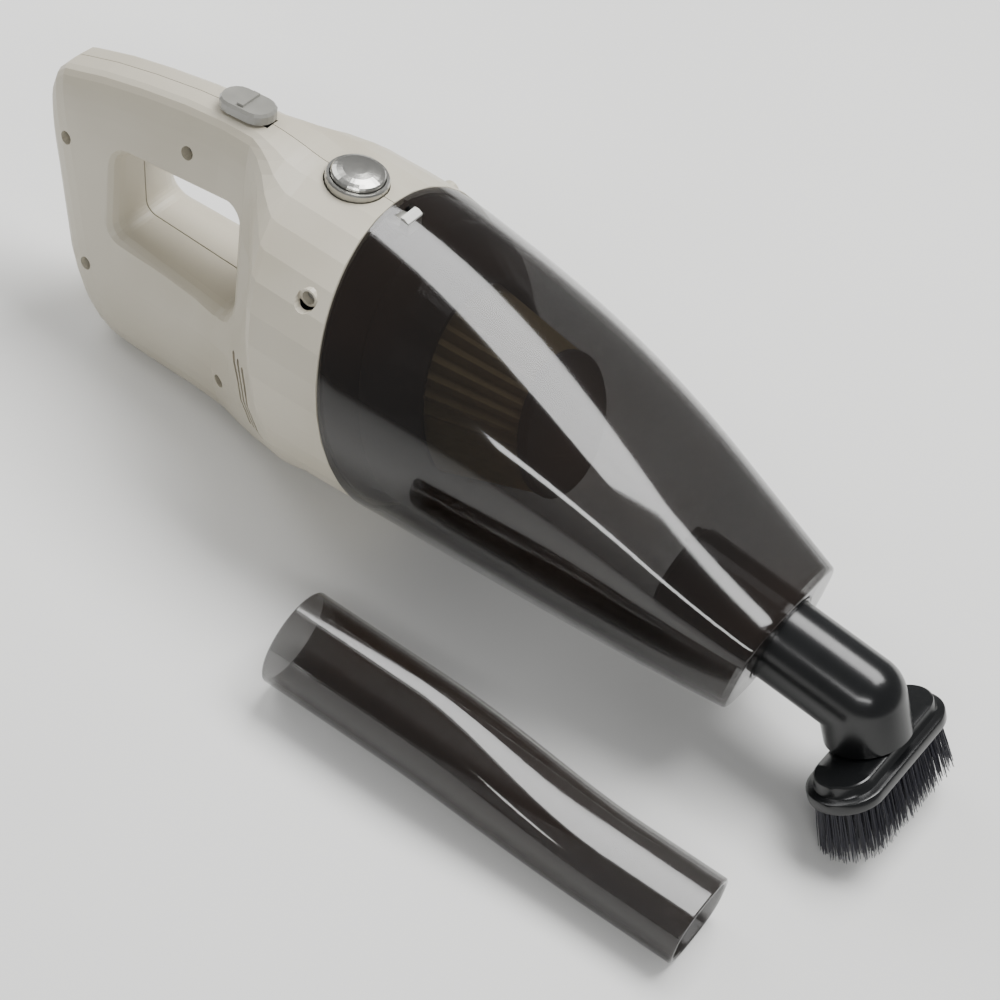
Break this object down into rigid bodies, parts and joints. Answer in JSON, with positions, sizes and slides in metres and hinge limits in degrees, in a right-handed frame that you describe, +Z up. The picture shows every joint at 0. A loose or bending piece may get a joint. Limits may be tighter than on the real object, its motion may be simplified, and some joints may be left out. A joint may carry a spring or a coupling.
{
  "type": "handheld vacuum",
  "caption": "Cordless handheld vacuum with a see-through smoked dust cup, pleated filter, elbow dusting brush and a loose crevice nozzle.",
  "frame": {"origin": "middle of the bounding box in plan, on the surface the vacuum stands on", "axes": "+X from handle to nose along the floor, +Z up, +Y to the vacuum's left, away from the loose crevice nozzle"},
  "size_m": [0.3826, 0.1667, 0.1222],
  "materials": {
    "cream_plastic": "fine satin moulding, warm putty grey",
    "smoked_plastic": "clear smoked brown-grey, polished",
    "black_plastic": "glossy black",
    "matte_black_plastic": "matte black",
    "white_plastic": "natural white nylon",
    "switch_plastic": "glossy mid grey",
    "silver_plastic": "bright silver plating on plastic",
    "pleat_paper": "pleated filter paper, beige",
    "bristle_nylon": "dense dark navy bristles",
    "steel": "bright steel",
    "rubber": "black rubber",
    "board_green": "green solder mask",
    "cell_wrap": "blue shrink wrap",
    "wire_red": "red wire insulation",
    "wire_black": "black wire insulation"
  },
  "bodies": {
    "housing": {"housing_left": "cream_plastic", "housing_right": "cream_plastic", "motor_bulkhead": "matte_black_plastic", "intake_grille": "matte_black_plastic", "cup_seal": "rubber", "motor_can": "steel", "motor_mount_ring": "rubber", "fan_shroud": "matte_black_plastic", "switch_body": "matte_black_plastic", "circuit_board": "board_green", "charging_socket": "matte_black_plastic", "battery_bracket": "matte_black_plastic", "battery_cell_left": "cell_wrap", "battery_cell_right": "cell_wrap", "battery_wire": "wire_red", "motor_wire_red": "wire_red", "motor_wire_black": "wire_black", "button_ring": "silver_plastic", "latch_pin": "steel", "latch_spring": "steel", "screw_handle_rear_top": "steel", "screw_handle_top": "steel", "screw_handle_rear_bottom": "steel", "screw_handle_front_bottom": "steel", "screw_barrel": "steel"},
    "switch": {"switch_knob": "switch_plastic"},
    "button": {"release_button": "silver_plastic"},
    "latch": {"latch_lever": "white_plastic"},
    "cup": {"dust_cup": "smoked_plastic", "intake_duct": "black_plastic"},
    "flap": {"flap_valve": "rubber"},
    "filter": {"filter_holder": "black_plastic", "filter_pleats": "pleat_paper", "filter_end_cap": "matte_black_plastic"},
    "nozzle_seal": {"elbow_o_ring": "rubber"},
    "brush": {"brush_elbow": "black_plastic", "brush_plate": "black_plastic", "brush_bristles": "bristle_nylon"},
    "rotor": {"motor_shaft": "steel", "impeller": "white_plastic", "impeller_nut": "steel"},
    "crevice": {"crevice_nozzle": "smoked_plastic"}
  },
  "joints": [
    {"name": "switch_slide", "type": "slide", "parent": "housing", "child": "switch", "axis": [0.9899, 0, 0.1416], "range_m": [0, 0.005]},
    {"name": "button_press", "type": "slide", "parent": "housing", "child": "button", "axis": [0.0251, 0, -0.9997], "range_m": [0, 0.002], "stiffness_N_per_m": 600, "springref_m": -0.0015},
    {"name": "latch_tilt", "type": "hinge", "parent": "housing", "child": "latch", "pos_m": [-0.08306, 0.0284, 0.10386], "axis": [0, 1, 0], "range_deg": [0, 8]},
    {"name": "cup_pull", "type": "slide", "parent": "housing", "child": "cup", "axis": [0.9899, 0, 0.1416], "range_m": [0, 0.15]},
    {"name": "filter_pull", "type": "slide", "parent": "housing", "child": "filter", "axis": [0.9899, 0, 0.1416], "range_m": [0, 0.06]},
    {"name": "flap_swing", "type": "hinge", "parent": "cup", "child": "flap", "pos_m": [0.08375, 0.0284, 0.06321], "axis": [0, 1, 0], "range_deg": [0, 60], "stiffness_Nm_per_rad": 0.001, "springref_deg": -20.05},
    {"name": "nozzle_pull", "type": "slide", "parent": "cup", "child": "nozzle_seal", "axis": [0.9977, 0, -0.0673], "range_m": [0, 0.06]},
    {"name": "brush_swivel", "type": "hinge", "parent": "nozzle_seal", "child": "brush", "pos_m": [0.10637, 0.0284, 0.04645], "axis": [0.9977, 0, -0.0673], "range_deg": [-180, 180]},
    {"name": "rotor_spin", "type": "hinge", "parent": "housing", "child": "rotor", "pos_m": [-0.05151, 0.0284, 0.05989], "axis": [0.9899, 0, 0.1416], "continuous": true},
    {"name": "crevice_lift", "type": "slide", "parent": "housing", "child": "crevice", "axis": [0, 0, 1], "range_m": [0, 0.15]}
  ],
  "couplings": [
    {"joint": "latch_tilt", "follows": "button_press", "rad_per_m": 69.8},
    {"joint": "filter_pull", "follows": "cup_pull", "ratio": 0.4}
  ]
}
